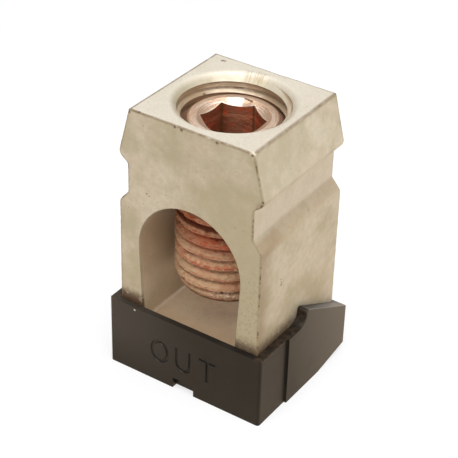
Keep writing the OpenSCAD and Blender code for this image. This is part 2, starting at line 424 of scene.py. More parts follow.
def thread_solid(screw, corners, low, high, name, samples=3, columns=TURN_COLUMNS):
    """A closed solid with the screw's thread, cut off flat at its low and high ends.

    corners are (share of the pitch, radius) points of one ridge. At angle nought a pitch begins at the height
    of the thread's start.
    """
    pitch, start = screw.pitch, screw.thread_start
    wrapped = corners + [(corners[0][0] + 1, corners[0][1])]
    shares = []
    for (share, _), (after, _) in zip(wrapped, wrapped[1:]):
        shares += [share + (after - share) * k / samples for k in range(samples)]

    def radius_at(share):
        share = (share - wrapped[0][0]) % 1 + wrapped[0][0]
        for (a, radius_a), (b, radius_b) in zip(wrapped, wrapped[1:]):
            if share <= b:
                return radius_a + (radius_b - radius_a) * (share - a) / (b - a)
        return wrapped[-1][1]

    turns = range(math.floor((low - start) / pitch) - 2, math.ceil((high - start) / pitch) + 2)
    heights = [start + (turn + share) * pitch for turn in turns for share in shares]
    bm = bmesh.new()
    grid = []
    for i in range(columns):
        part = i / columns
        turned = math.tau * part
        column = []
        for height in heights:
            z = min(max(height + part * pitch, low), high)
            radius = radius_at((z - start) / pitch - part)
            column.append(bm.verts.new((radius * math.cos(turned), radius * math.sin(turned), z)))
        grid.append(column)
    for i in range(columns):
        left, right = grid[i], grid[(i + 1) % columns]
        shift = len(shares) if i + 1 == columns else 0
        for j in range(len(heights) - 1 - shift):
            bm.faces.new((left[j], right[j + shift], right[j + 1 + shift], left[j + 1]))
    bmesh.ops.remove_doubles(bm, verts=bm.verts, dist=MERGED)
    bmesh.ops.dissolve_degenerate(bm, edges=bm.edges, dist=MERGED / 2)
    loose = [e for e in bm.edges if not e.link_faces]
    bmesh.ops.delete(bm, geom=loose, context="EDGES")
    bmesh.ops.holes_fill(bm, edges=[e for e in bm.edges if e.is_boundary], sides=0)
    return object_from(bm, name)


def apply_modifier(piece, modifier):
    """Bakes one modifier into the piece's mesh."""
    bpy.context.view_layer.objects.active = piece
    bpy.ops.object.modifier_apply(modifier=modifier.name)


def combine(piece, other, operation):
    """Cuts another object out of the piece, or keeps what both share, and removes that object."""
    modifier = piece.modifiers.new(operation.title(), "BOOLEAN")
    modifier.operation = operation
    modifier.solver = "EXACT"
    modifier.object = other
    apply_modifier(piece, modifier)
    if len(piece.data.polygons) < FEWEST_FACES:
        raise RuntimeError(f"{piece.name} was lost in a {operation.lower()} with {other.name}")
    bpy.data.meshes.remove(other.data)


def shade(piece):
    """Smooth shading that keeps sharp edges and flat faces flat."""
    piece.data.polygons.foreach_set("use_smooth", [True] * len(piece.data.polygons))
    piece.data.set_sharp_from_angle(angle=SHARP_ANGLE)
    weighted = piece.modifiers.new("Flat faces stay flat", "WEIGHTED_NORMAL")
    weighted.keep_sharp = True
    weighted.weight = 100


def mark_vertices(piece, name, value_at):
    """Stores a number for each vertex, which a material reads by its name."""
    layer = piece.data.attributes.new(name, "FLOAT", "POINT")
    layer.data.foreach_set("value", [value_at(v.co) for v in piece.data.vertices])


def fit_to_body(piece, node, body, material):
    """Puts a finished piece in the place of its CAD node."""
    piece.data.materials.clear()
    piece.data.materials.append(material)
    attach(piece, body)
    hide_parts(node)


# Shader nodes

class Nodes:
    """Adds nodes to a tree and joins them, so that a finish reads as a list of steps."""

    def __init__(self, tree):
        self.tree = tree
        self.column = 0

    def join(self, value, socket):
        """Gives a socket a value, or links it to another socket or to a node's first output."""
        if isinstance(value, bpy.types.Node):
            value = value.outputs[0]
        if isinstance(value, bpy.types.NodeSocket):
            self.tree.links.new(value, socket)
        elif socket.type == "RGBA":
            socket.default_value = (*value, 1.0)
        else:
            socket.default_value = value

    def add(self, kind, inputs=None, **settings):
        """A node of that kind, with its settings and its inputs."""
        node = self.tree.nodes.new("ShaderNode" + kind)
        self.column += 1
        node.location = (self.column * 180, -160 * (self.column % 4))
        for key, value in settings.items():
            setattr(node, key, value)
        for key, value in (inputs or {}).items():
            self.join(value, node.inputs[key])
        return node

    def maths(self, operation, a, b=0.5, clamp=False):
        """One sum on two numbers."""
        return self.add("Math", {0: a, 1: b}, operation=operation, use_clamp=clamp).outputs[0]

    def times(self, first, *others):
        """Numbers multiplied with each other."""
        for other in others:
            first = self.maths("MULTIPLY", first, other)
        return first

    def level(self, value, rise, base):
        """A value times a rise, on top of a base."""
        return self.add("Math", {0: value, 1: rise, 2: base}, operation="MULTIPLY_ADD").outputs[0]

    def either(self, a, b):
        """The larger of two masks."""
        return self.maths("MAXIMUM", a, b)

    def inverse(self, mask):
        """1 where a mask is 0, and 0 where it is 1."""
        return self.maths("SUBTRACT", 1.0, mask)

    def ramp(self, value, low, high):
        """A smooth rise from 0 to 1 between two values, or a fall where low is above high."""
        ends = {"Value": value, "From Min": low, "From Max": high}
        return self.add("MapRange", ends, interpolation_type="SMOOTHSTEP").outputs["Result"]

    def near(self, value, centre, outer, inner):
        """1 up to the inner distance from a centre, falling to 0 at the outer one."""
        gap = self.maths("ABSOLUTE", self.maths("SUBTRACT", value, centre))
        return self.ramp(gap, outer, inner)

    def mix(self, share, a, b):
        """Two colours mixed by a share."""
        return self.add("Mix", {0: share, 6: a, 7: b}, data_type="RGBA").outputs[2]

    def radius(self, x, y):
        """Distance from the Z axis."""
        return self.maths("SQRT", self.level(x, x, self.times(y, y)))

    def noise(self, place, scale, detail, roughness=0.5):
        """Cloudy noise from 0 to 1."""
        values = {"Vector": place, "Scale": scale, "Detail": detail, "Roughness": roughness}
        return self.add("TexNoise", values).outputs["Fac"]

    def split(self, place):
        """The X, Y and Z of a place."""
        return self.add("SeparateXYZ", {"Vector": place}).outputs


class Effect(Nodes):
    """A shared effect: a node group with a position, other named inputs and one named output."""

    def __init__(self, name, output, **inputs):
        super().__init__(bpy.data.node_groups.new(name, "ShaderNodeTree"))
        sockets = self.tree.interface
        for key, default in {"Position": (0, 0, 0), **inputs}.items():
            kind = "NodeSocketVector" if isinstance(default, tuple) else "NodeSocketFloat"
            sockets.new_socket(key, in_out="INPUT", socket_type=kind).default_value = default
        sockets.new_socket(output, in_out="OUTPUT", socket_type="NodeSocketFloat")
        self.given = self.tree.nodes.new("NodeGroupInput").outputs
        self.result = self.tree.nodes.new("NodeGroupOutput")
        self.result.location = (2400, 0)

    def clouds(self, detail, roughness):
        """Noise at the group's position whose lumps have the group's size."""
        scale = self.maths("DIVIDE", 1.0, self.given["Size"])
        return self.noise(self.given["Position"], scale, detail, roughness)

    def put_out(self, value):
        """Sends a value to the output and hands back the finished group."""
        self.join(value, self.result.inputs[0])
        return self.tree


def patches_group():
    """Soft patches of an uneven finish: 0 outside a patch and 1 inside it."""
    effect = Effect("Patches", "Mask", Size=5.0, Cover=0.5, Softness=0.15)
    middle = effect.inverse(effect.given["Cover"])
    low = effect.maths("SUBTRACT", middle, effect.given["Softness"])
    high = effect.maths("ADD", middle, effect.given["Softness"])
    return effect.put_out(effect.ramp(effect.clouds(4.0, 0.55), low, high))


def grain_group():
    """Height of a fine even grain, from 0 to 1."""
    effect = Effect("Fine grain", "Height", Size=0.2)
    return effect.put_out(effect.clouds(3.0, 0.6))


def specks_group():
    """Small round specks, each of its own size: 1 inside a speck."""
    effect = Effect("Specks", "Mask", Spacing=2.0, Share=0.2)
    scale = effect.maths("DIVIDE", 1.0, effect.given["Spacing"])
    cells = effect.add("TexVoronoi", {"Vector": effect.given["Position"], "Scale": scale, "Randomness": 1.0})
    chance = effect.add("SeparateColor", {"Color": cells.outputs["Color"]}).outputs["Red"]
    reach = effect.times(chance, effect.given["Share"])
    inside = effect.maths("SUBTRACT", reach, cells.outputs["Distance"])
    return effect.put_out(effect.maths("MULTIPLY", inside, 20.0, clamp=True))


def edge_wear_group():
    """Wear along edges that the mesh marks, broken up unevenly: 1 where it is worn."""
    effect = Effect("Edge wear", "Mask", Edge=0.0, Size=1.0, Amount=0.5)
    at_edge = effect.times(effect.clouds(3.0, 0.6), effect.given["Edge"])
    low = effect.level(effect.given["Amount"], -0.5, 0.75)
    return effect.put_out(effect.ramp(at_edge, low, effect.maths("ADD", low, 0.12)))


def mark_group():
    """One small round mark: 1 inside it."""
    effect = Effect("Mark", "Mask", Centre=(0, 0, 0), Radius=0.3)
    ends = {0: effect.given["Position"], 1: effect.given["Centre"]}
    gap = effect.add("VectorMath", ends, operation="DISTANCE").outputs["Value"]
    radius = effect.given["Radius"]
    return effect.put_out(effect.ramp(gap, radius, effect.times(radius, 0.5)))


def thread_group():
    """Share of a thread's pitch: 0 at a root, 0.5 at the middle of a ridge, 1 at the next root."""
    effect = Effect("Thread", "Phase", Start=0.8, Pitch=2.1)
    x, y, z = effect.split(effect.given["Position"])
    climbed = effect.maths("SUBTRACT", z, effect.given["Start"])
    turns = effect.maths("DIVIDE", effect.maths("ARCTAN2", y, x), math.tau)
    phase = effect.maths("SUBTRACT", effect.maths("DIVIDE", climbed, effect.given["Pitch"]), turns)
    return effect.put_out(effect.maths("FRACT", phase))


def turning_group():
    """Height of the fine lines that a tool leaves round the Z axis, side by side along some length."""
    effect = Effect("Turning lines", "Height", Length=0.0, Spacing=0.2, Scale=1.2)
    x, y, _ = effect.split(effect.given["Position"])
    out = effect.radius(x, y)
    line = effect.maths("DIVIDE", effect.given["Length"], effect.given["Spacing"])
    round_axis = {"X": effect.maths("DIVIDE", x, out), "Y": effect.maths("DIVIDE", y, out), "Z": line}
    return effect.put_out(effect.noise(effect.add("CombineXYZ", round_axis), effect.given["Scale"], 3.0))


EFFECTS = {}


class Finish(Nodes):
    """A material's nodes, with its colour so far and the object's own coordinates in millimetres."""

    def __init__(self, name, tone):
        self.material = bpy.data.materials.new(name)
        self.material.use_nodes = True
        super().__init__(self.material.node_tree)
        self.tone = tone
        self.shader = self.tree.nodes["Principled BSDF"]
        self.shader.location = (6200, 0)
        self.output = self.tree.nodes["Material Output"]
        self.output.location = (6600, 0)
        metres = self.add("TexCoord").outputs["Object"]
        larger = self.add("VectorMath", {0: metres, "Scale": 1 / MM}, operation="SCALE")
        self.place = larger.outputs["Vector"]

    def effect(self, maker, **inputs):
        """A shared effect with its own values; it is built the first time it is asked for."""
        if maker not in EFFECTS:
            EFFECTS[maker] = maker()
        return self.add("Group", {"Position": self.place, **inputs}, node_tree=EFFECTS[maker]).outputs[0]

    def patches(self, size, cover, softness):
        """Soft patches of a size that cover about that share of the surface."""
        return self.effect(patches_group, Size=size, Cover=cover, Softness=softness)

    def thread_phase(self, screw):
        """Where a place lies across the ridges of the screw's thread."""
        return self.effect(thread_group, Start=mm(screw.thread_start), Pitch=mm(screw.pitch))

    def marks(self, spots):
        """Small round marks, each at a place and of a radius: 1 inside a mark."""
        mask = 0.0
        for x, y, z, radius in spots:
            mask = self.either(self.effect(mark_group, Centre=(x, y, z), Radius=radius), mask)
        return mask

    def tint(self, colour, *shares):
        """Lays a colour over the finish, as much as the product of the shares."""
        self.tone = self.mix(self.times(*shares), self.tone, colour)

    def steps(self):
        """The steps that finishes take most."""
        return self.tint, self.patches, self.ramp, self.near, self.times, self.level

    def complete(self, height, strength, depth, **values):
        """Joins the colour, a relief and other values to the shader, and hands back the material."""
        self.join(self.tone, self.shader.inputs["Base Color"])
        bump = self.add("Bump", {"Height": height, "Strength": strength, "Distance": depth * MM})
        self.join(bump, self.shader.inputs["Normal"])
        for key, value in values.items():
            self.join(value, self.shader.inputs[key])
        return self.material


# Finishes: lengths are in millimetres, and the last number of a tint is its strength

def mm(metres):
    """A length in millimetres."""
    return metres / MM


def tin_plate_finish(colours, lug, screw):
    """Matt tin plate: mottled, stained in the grooves, burred along sawn edges, bright where it is cut."""
    coat = Finish("tin_plate", colours.tin_pale)
    tint, patches, ramp, near, times, level = coat.steps()
    x, y, z = coat.split(coat.place)
    across = coat.maths("ABSOLUTE", x)
    out = coat.radius(x, y)
    turn = coat.maths("ARCTAN2", y, x)
    base, top = mm(LUG_LOW.z), mm(LUG_HIGH.z)
    front, rear = mm(LUG_LOW.y), mm(LUG_HIGH.y)
    flecked = patches(1.1, 0.5, 0.25)
    tint(colours.tin_olive, patches(8, 0.5, 0.12))
    tint(colours.tin_rose, patches(5, 0.4, 0.1), 0.6)
    tint(colours.tin_olive, flecked, 0.4)

    # Browner and darker down towards the shoe
    tint(colours.stain_and_shade, ramp(z, base + 36, base + 8), 0.2)

    # Inside the wire opening the metal is painted paler, partly its own tone and partly painted light, and
    # browner up the walls as painted shade
    wall = mm(lug.opening_radius)
    floor = base + mm(lug.floor_thickness)
    arch_top = floor + mm(lug.arch_height) + wall
    between = ramp(coat.maths("ABSOLUTE", y), rear - 0.1, rear - 0.8)
    inside = times(ramp(across, wall + 0.25, wall + 0.05), ramp(z, arch_top + 0.3, arch_top), between)
    tint(colours.floor_tone_and_light, inside, 0.45)
    tint(colours.brown_line_and_shade, inside, 0.06)
    tint(colours.stain_and_shade, inside, ramp(z, floor + 5, floor + 15), 0.42)
    # The floor is painted paler towards the back, as painted light under the screw's shadow, and darker
    # towards the front as painted shade
    on_floor = times(inside, ramp(z, floor + 0.4, floor + 0.1))
    tint(colours.floor_tone_and_light, on_floor, level(ramp(y, -8, 0), 0.75, 0.25))
    tint(colours.stain_and_shade, on_floor, ramp(y, -2, -8.5), 0.62)
    tint(colours.stain_and_shade, on_floor, patches(1.6, 0.45, 0.2), 0.2)
    # A painted highlight where the walls meet the floor
    floor_edge_highlight = near(across, wall - mm(lug.wall_taper) - 0.22, 0.22, 0.1)
    tint(colours.clean_tin_and_light, floor_edge_highlight, inside, ramp(z, floor + 0.5, floor + 0.3), 0.18)

    # The flat top is painted paler, as painted light from above, with a blush to the right
    sink = mm(lug.countersink_radius)
    in_hole = ramp(out, sink + 0.6, sink + 0.3)
    lit_top = coat.either(times(in_hole, ramp(z, top - 0.8, top)), ramp(z, top - 0.4, top - 0.05))
    tint(colours.clean_tin_and_light, lit_top, 0.7)
    tint(colours.tin_rose, lit_top, ramp(x, 3, 10), 0.2)

    # The front is duller towards its lower right, and the head's sides are paler
    on_front = ramp(y, front + 0.4, front + 0.15)
    tint(colours.tin_olive, on_front, ramp(x, -6, 12), ramp(z, top + 8, top - 22))
    tint(colours.clean_tin_and_light, on_front, ramp(x, 0, -9), 0.04)
    to_lower_right = ramp(coat.maths("SUBTRACT", x, z), -22, -8)
    tint(colours.brown_line_and_shade, on_front, patches(0.55, 0.42, 0.1), to_lower_right, 0.4)
    tint(colours.stain_and_shade, on_front, patches(3.5, 0.48, 0.12), 0.09)
    neck = mm(lug.neck_width) / 2
    on_side = times(ramp(across, neck - 0.3, neck), coat.inverse(on_front))
    shoulder = top - mm(lug.head_height)
    tint(colours.clean_tin_and_light, on_side, ramp(z, shoulder - 0.2, shoulder + 0.5), 0.13)

    # Pale plate in the grooves, and brown stain on the slope below each
    lip = shoulder - mm(lug.shoulder_drop + lug.groove_height + lug.groove_ramp)
    groove = times(ramp(z, lip + 1.9, lip + 2.3), ramp(z, shoulder, shoulder - 0.7))
    tint(colours.tin_groove, groove, on_side, 0.55)
    forward = ramp(y, -3, -9)
    sagged = level(forward, 0.6, z)
    above = times(ramp(sagged, lip - 1.2, lip + 0.6), on_side)
    blotch = level(patches(6, 0.55, 0.25), 0.2, level(forward, 0.15, 0.32))
    tint(colours.stain_and_shade, above, ramp(sagged, lip + 2.8, lip + 1.6), blotch)
    tint(colours.brown_line_and_shade, above, forward, ramp(z, lip + 2.2, lip + 1), 0.32)
    tint(colours.brown_line_and_shade, on_side, ramp(y, -8, front + 0.3), ramp(z, lip + 0.5, lip - 1.5), 0.56)
    spread = times(ramp(z, lip + 1, lip - 0.5), ramp(z, lip - 4.5, lip - 2.5))
    tint(colours.brown_line_and_shade, on_side, ramp(y, -5.5, -9.5), spread, 0.22)
    tint(colours.brown_line_and_shade, on_side, ramp(z, lip, lip - 2), 0.07)

    # Dirt, and a painted contact shadow, where the outside of the body goes down into the shoe
    outside = times(coat.inverse(inside), ramp(y, 3, -3), level(ramp(x, 8, -8), 0.45, 0.55))
    tint(colours.burr_dirt_and_shade, outside, ramp(z, base + 15.5, base + 12), patches(0.7, 0.45, 0.12), 0.6)
    tint(colours.burr_dirt_and_shade, outside, ramp(z, base + 14.4, base + 12.8), patches(0.9, 0.6, 0.08), 0.9)
    ragged = level(patches(0.8, 0.5, 0.2), 0.8, z)
    foot_dirt_and_shade = times(outside, ramp(ragged, base + 13.3, base + 12.7))
    tint(colours.burr_dirt_and_shade, foot_dirt_and_shade, 0.92)
    tint(colours.root_red_and_shade, foot_dirt_and_shade, patches(1.1, 0.45, 0.1), 0.7)
    tint(colours.burr_dirt_and_shade, coat.effect(specks_group, Spacing=1.5, Share=0.13), 0.35)
    tint(colours.stain_and_shade, patches(0.35, 0.5, 0.3), 0.24)

    # Brown lines and dark burrs along the sawn edges
    edge = coat.add("Attribute", attribute_name="edge").outputs["Fac"]
    worn = coat.effect(edge_wear_group, Edge=edge, Size=0.8, Amount=0.5)
    along_edge = times(edge, patches(3.5, 0.6, 0.25))
    tint(colours.brown_line_and_shade, level(along_edge, 0.45, times(edge, 0.12)))
    rimmed = times(edge, ramp(z, top - 0.6, top - 0.25), patches(1.3, 0.6, 0.15))
    tint(colours.brown_line_and_shade, rimmed, level(ramp(x, -6, -11), 0.25, 0.6))
    tint(colours.brown_line_and_shade, worn, along_edge, 0.6)
    tint(colours.burr_dirt_and_shade, worn, along_edge, ramp(z, top + 0.3, top - 1), 0.8)

    # The countersink was cut after plating and shines; copper has rubbed off on the thread below it
    high = ramp(z, top - 14, top - 13)
    cut = times(in_hole, high)
    slope = 1 / math.tan(lug.countersink_angle / 2)
    cone = top - slope * sink
    crest = mm(SCREW_HIGH.x)
    below_cone = ramp(level(out, -slope, z), cone - 0.03, cone - 0.15)
    tapped = times(below_cone, ramp(out, crest + 0.4, crest + 0.25), high)
    tint(colours.rubbed, tapped, 0.85)
    # The back of the tapped hole, which faces the camera, is painted paler as a painted highlight, and the
    # thread beside it and deeper down darker as painted shade
    facing = coat.maths("COSINE", coat.maths("SUBTRACT", turn, HOLE_HIGHLIGHT_AT))
    beside = times(ramp(facing, 1, 0.75), ramp(facing, -0.6, 0.7))
    hole_shade = times(coat.either(beside, ramp(z, top - 2, top - 6)), tapped)
    tint(colours.stain_and_shade, hole_shade, 0.65)
    tint(colours.brown_line_and_shade, hole_shade, 0.48)
    tint(colours.clean_tin_and_light, tapped, ramp(facing, 0.95, 1), ramp(z, top - 2.6, top - 2.2), 0.5)
    # Dirt and painted shadow under each ridge of the tapped thread, less where the sides are already shaded
    phase = coat.thread_phase(screw)
    dirt_and_shade = coat.either(ramp(phase, 0.56, 0.66), ramp(phase, 0.36, 0.31))
    dirt_and_shade = coat.maths("SUBTRACT", dirt_and_shade, times(hole_shade, 0.5), clamp=True)
    dirt_and_shade = times(dirt_and_shade, ramp(out, crest - 0.25, crest - 0.1), tapped)
    tint(colours.burr_dirt_and_shade, dirt_and_shade, level(patches(1.4, 0.5, 0.2), 0.45, 0.45))
    tint(colours.stain_and_shade, tapped, patches(1.8, 0.5, 0.15), 0.35)
    streaks = coat.effect(turning_group, Length=z, Spacing=0.2, Scale=1.2)
    tint(colours.brown_line_and_shade, tapped, ramp(streaks, 0.5, 0.62), 0.4)
    tint(colours.burr_dirt_and_shade, coat.marks(BODY_MARKS), 0.75)
    spokes = coat.add("CombineXYZ", {"X": times(turn, 9.0), "Y": times(z, 0.09)})
    chatter = coat.noise(spokes, 3.0, 2.0)
    chattered = times(near(turn, CHATTER_AT, 0.22, 0.12), cut)
    tint(colours.stain_and_shade, chattered, ramp(chatter, 0.5, 0.62), coat.inverse(tapped), 0.45)

    # Fine grain and shallow dents, and the cutter's chatter round the countersink
    dents = level(coat.effect(grain_group, Size=0.35), 0.3, coat.effect(grain_group, Size=2.4))
    dents = coat.maths("SUBTRACT", level(worn, -0.6, dents), 0.65)
    height = level(times(chatter, chattered), 4.0, times(dents, coat.inverse(cut)))
    matt = level(tapped, -0.1, level(flecked, 0.1, 0.44))
    return coat.complete(height, 0.35, 0.1, Roughness=matt, Metallic=level(tapped, -0.1, 0.3))


def copper_plate_finish(colours, screw):
    """Copper plate: pale and pink on the driving end, redder in streaks, dark in thread and socket."""
    coat = Finish("copper_plate", colours.thread)
    tint, patches, ramp, near, times, level = coat.steps()
    x, y, z = coat.split(coat.place)
    out = coat.radius(x, y)
    turn = coat.maths("ARCTAN2", y, x)
    low, top, crest = mm(SCREW_LOW.z), mm(SCREW_HIGH.z), mm(SCREW_HIGH.x)
    rim = mm(screw.hex_lead) / 2
    driving_end = ramp(z, top - 3.2, top - 2.2)
    below_end = coat.inverse(driving_end)
    flecks = patches(0.7, 0.5, 0.1)
    tint(colours.copper, driving_end)
    tint(colours.copper_red, flecks, 0.1)

    # The thread is redder in bands and streaks, and darker where it goes up into the body
    phase = coat.thread_phase(screw)
    # Painted highlights along the lower edge of each crest
    tint(colours.bare_metal_and_highlight, below_end, ramp(phase, 0.4, 0.33), patches(0.7, 0.42, 0.06), 0.8)
    flat = coat.add("Mapping", {"Vector": coat.place, "Scale": (0.4, 0.4, 1.2)}).outputs["Vector"]
    streaks = coat.effect(patches_group, Position=flat, Size=2.2, Cover=0.42, Softness=0.08)
    upper = times(ramp(z, low + 8.5, low + 11.5), ramp(z, low + 20, low + 16))
    banded = coat.either(times(upper, 0.6), near(z, low + 7.4, 1.1, 0.4))
    reddened = level(banded, 0.4, times(ramp(phase, 0.66, 0.46), 0.3))
    reddened = times(reddened, coat.maths("ADD", streaks, flecks, clamp=True))
    reddened = times(level(streaks, 0.2, reddened), below_end)
    tint(colours.copper_red, reddened, level(ramp(x, -6, -1), 0.6, 0.4))
    tint(colours.copper_red, upper, below_end, 0.25)
    tint(colours.copper_dirt_and_shade, upper, below_end, 0.3)
    scorched = times(near(z, low + 11.9, 0.9, 0.4), ramp(x, -1.5, 0.5), patches(1.2, 0.55, 0.12))
    tint(colours.copper_red, scorched, 0.5)

    # Dirt and painted shade that thicken down each flank to the thread's root, uneven along it and fainter
    # towards the left
    deep = ramp(level(flecks, 0.3, out), crest - 0.3, crest - 0.7)
    root = times(deep, ramp(out, rim + 1.3, rim + 1.6), below_end)
    root_dirt_and_shade = level(patches(2.5, 0.5, 0.2), 0.25, level(upper, 0.1, 0.2))
    tint(colours.copper_dirt_and_shade, root, root_dirt_and_shade, ramp(x, -12, -3))
    tint(colours.copper_red, root, upper, 0.4)
    reddest = times(upper, ramp(z, low + 13, low + 13.8), ramp(z, low + 15.7, low + 15.3), below_end)
    tint(colours.root_red_and_shade, reddest, ramp(out, crest - 0.03, crest - 0.4), 0.86)
    # A painted shadow in one groove of the thread, on the right
    tint(colours.root_red_and_shade, root, near(z, low + 13, 0.8, 0.5), ramp(x, 1.2, 2), 0.85)
    tint(colours.copper_dirt_and_shade, ramp(level(flecks, 0.3, z), low + 1, low + 0.6), 0.75)
    # Painted glints near the tip
    tip_glints = times(near(z, low + 1.5, 0.8, 0.3), patches(0.4, 0.48, 0.05), ramp(x, 0, 4))
    tint(colours.bare_metal_and_highlight, tip_glints, 0.65)
    tint(colours.root_red_and_shade, coat.marks(SCREW_MARKS), 0.85)
    tint(colours.copper_dirt_and_shade, coat.effect(specks_group, Spacing=1.5, Share=0.14), below_end, 0.7)

    # The chamfer of the driving end is redder, and darker as painted shade in the gap under the tapped
    # thread, less towards the left; turning lines run round the end
    ring = crest - mm(screw.end_chamfer)
    chamfer = times(ramp(out, ring + 0.1, ring + 0.5), driving_end)
    tint(colours.copper_red, chamfer, 0.25)
    tint(colours.copper_dirt_and_shade, chamfer, level(ramp(x, -8.5, -6), 0.35, 0.1))
    turned = coat.effect(turning_group, Length=out, Spacing=0.25, Scale=1.3)
    tint(colours.copper_red, driving_end, ramp(turned, 0.48, 0.38), 0.22)

    # The cone that leads into the socket is tan, and the broached edge round the socket is pale; a painted
    # white glint lies on the cone's back, and a painted highlight line runs round the ring's inner edge
    in_cone = times(ramp(out, rim + 0.05, rim - 0.15), driving_end)
    tint(colours.lead_in, in_cone, 0.7)
    tint(colours.pale_metal_and_glint, driving_end, ramp(turned, 0.52, 0.64), 0.45)
    from_flat = coat.maths("PINGPONG", coat.maths("SUBTRACT", turn, screw.hex_turn + HALF_FLAT), HALF_FLAT)
    past_wall = level(out, coat.maths("COSINE", from_flat), -mm(screw.hex_across) / 2)
    edge = times(ramp(past_wall, 0.22, 0.08), ramp(past_wall, 0.01, 0.04), in_cone)
    tint(colours.bare_metal_and_highlight, edge, patches(0.8, 0.6, 0.15), 0.8)
    glint = times(near(turn, GLINT_AT, 0.28, 0.2), in_cone, ramp(past_wall, 0.02, 0.06))
    tint(colours.pale_metal_and_glint, glint, 0.9)
    tint(colours.copper_dirt_and_shade, near(turn, SCAR_AT, 0.2, 0.1), in_cone, ramp(past_wall, 0.75, 0.4), 0.45)
    rim_highlight = times(near(out, rim + 0.15, 0.16, 0.06), driving_end, patches(1.2, 0.5, 0.15))
    tint(colours.bare_metal_and_highlight, rim_highlight, 0.4)

    # The socket's walls are dull and dark, the back wall painted lighter as painted light and the side walls
    # darker as painted shade, with a line down each corner
    socket = times(ramp(past_wall, 0.03, 0.01), ramp(out, rim, rim - 0.3))
    tint(colours.socket, socket)
    tint(colours.thread, socket, ramp(x, -4.5, -3), ramp(x, 1.5, 0.5), 0.14)
    tint(colours.root_red_and_shade, socket, coat.either(ramp(x, -1.5, -4.5), ramp(x, 0.8, 2.5)), 0.32)
    tint(colours.copper_red, socket, ramp(x, -2.5, -0.5), 0.1)
    tint(colours.copper_red, socket, patches(1.4, 0.4, 0.1), 0.5)
    tint(colours.copper_dirt_and_shade, socket, ramp(from_flat, math.radians(26), math.radians(28.5)), 0.75)

    # A dark scar that runs aslant over the rim of the lead-in
    leant = level(coat.maths("SUBTRACT", turn, SCAR_AT), -0.9, out)
    scar = times(near(turn, SCAR_AT, 0.17, 0.12), driving_end, near(leant, rim - 0.15, 0.2, 0.1))
    tint(colours.copper_dirt_and_shade, scar, 0.85)

    coat.shader.inputs["Specular IOR Level"].default_value = 0.15
    rough = level(driving_end, -0.17, level(flecks, 0.12, 0.5))
    dulled = times(coat.either(socket, glint), 0.7)
    metal = coat.maths("SUBTRACT", level(driving_end, 0.55, 0.3), dulled, clamp=True)
    scuffs = times(below_end, 2.0)
    height = level(coat.effect(grain_group, Size=0.9), scuffs, coat.effect(grain_group, Size=0.35))
    return coat.complete(height, 0.9, 0.22, Roughness=rough, Metallic=metal)


def black_plastic_finish(colours, lug, shoe):
    """Satin brownish black plastic with a fine moulded texture and a little dust."""
    coat = Finish("black_plastic", colours.plastic)
    tint, patches, ramp, _, times, level = coat.steps()
    x, y, z = coat.split(coat.place)
    across = coat.maths("ABSOLUTE", x)
    side, rim = mm(SHOE_HIGH.x), mm(shoe.rim_height)
    pocket = mm(lug.body_width / 2 + shoe.wall_room)
    rubbed = patches(6, 0.4, 0.2)
    tint(colours.plastic_worn_and_lit, rubbed, 0.12)
    # Paler towards the left and upwards, as painted light
    tint(colours.plastic_worn_and_lit, ramp(x, 6, -side), ramp(z, -3, 10), 0.45)
    tint(colours.plastic_worn_and_lit, ramp(across, side - 0.7, side - 0.5), 0.06)

    # The wings are painted paler towards their top and rear, and on the ramp behind the catch, as a painted
    # sheen
    on_wing = ramp(across, side - 0.3, side - 0.1)
    wing_sheen = coat.maths("ADD", level(y, 0.031, times(z, 0.011)), 0.06, clamp=True)
    tint(colours.plastic_sheen, on_wing, wing_sheen)
    behind = coat.maths("SUBTRACT", y, mm(SHOE_LOW.y + shoe.catch_from_front))
    crest = rim + mm(shoe.catch_height)
    to_crest = level(behind, math.tan(shoe.ramp_angle), z)
    on_ramp = times(ramp(to_crest, crest - 0.35, crest - 0.15), ramp(behind, 0, 0.8))
    tint(colours.plastic_sheen, on_ramp, level(ramp(behind, 2, 11), 0.34, 0.02))
    tint(colours.plastic, on_ramp, ramp(across, pocket + 0.5, pocket + 0.3))

    # Brown dust in patches on the rims of the side walls, a chip in the front rim, and pale specks
    on_rim = times(ramp(z, rim - 0.3, rim - 0.1), ramp(across, pocket - 0.2, pocket + 0.1))
    on_rim = coat.maths("SUBTRACT", on_rim, coat.either(on_wing, on_ramp), clamp=True)
    tint(colours.burr_dirt_and_shade, on_rim, patches(0.9, 0.5, 0.12), 0.4)
    tint(colours.clean_tin_and_light, coat.marks(SHOE_MARKS), 0.6)
    tint(colours.plastic_worn_and_lit, coat.effect(specks_group, Spacing=3.0, Share=0.06), 0.5)

    coat.shader.inputs["Specular IOR Level"].default_value = 0.31
    height = coat.effect(grain_group, Size=0.22)
    return coat.complete(height, 0.25, 0.05, Roughness=level(rubbed, 0.1, 0.42))


# The lug body

def lug_corners(lug):
    """Corners of the lug's section seen from the front, anticlockwise, with their radii."""
    top = LUG_HIGH.z
    shoulder = top - lug.head_height
    groove_top = shoulder - lug.shoulder_drop
    groove_low = groove_top - lug.groove_height
    side = [
        ((lug.body_width / 2, LUG_LOW.z), lug.edge_radius),
        ((lug.body_width / 2, groove_low - lug.groove_ramp), lug.lip_radius),
        ((lug.neck_width / 2, groove_low), lug.groove_radius),
        ((lug.neck_width / 2, groove_top), lug.groove_radius),
        ((lug.shoulder_width / 2, shoulder), lug.lip_radius),
        ((lug.top_width / 2, top), lug.edge_radius),
    ]
    return side + [((-x, z), radius) for (x, z), radius in reversed(side)]


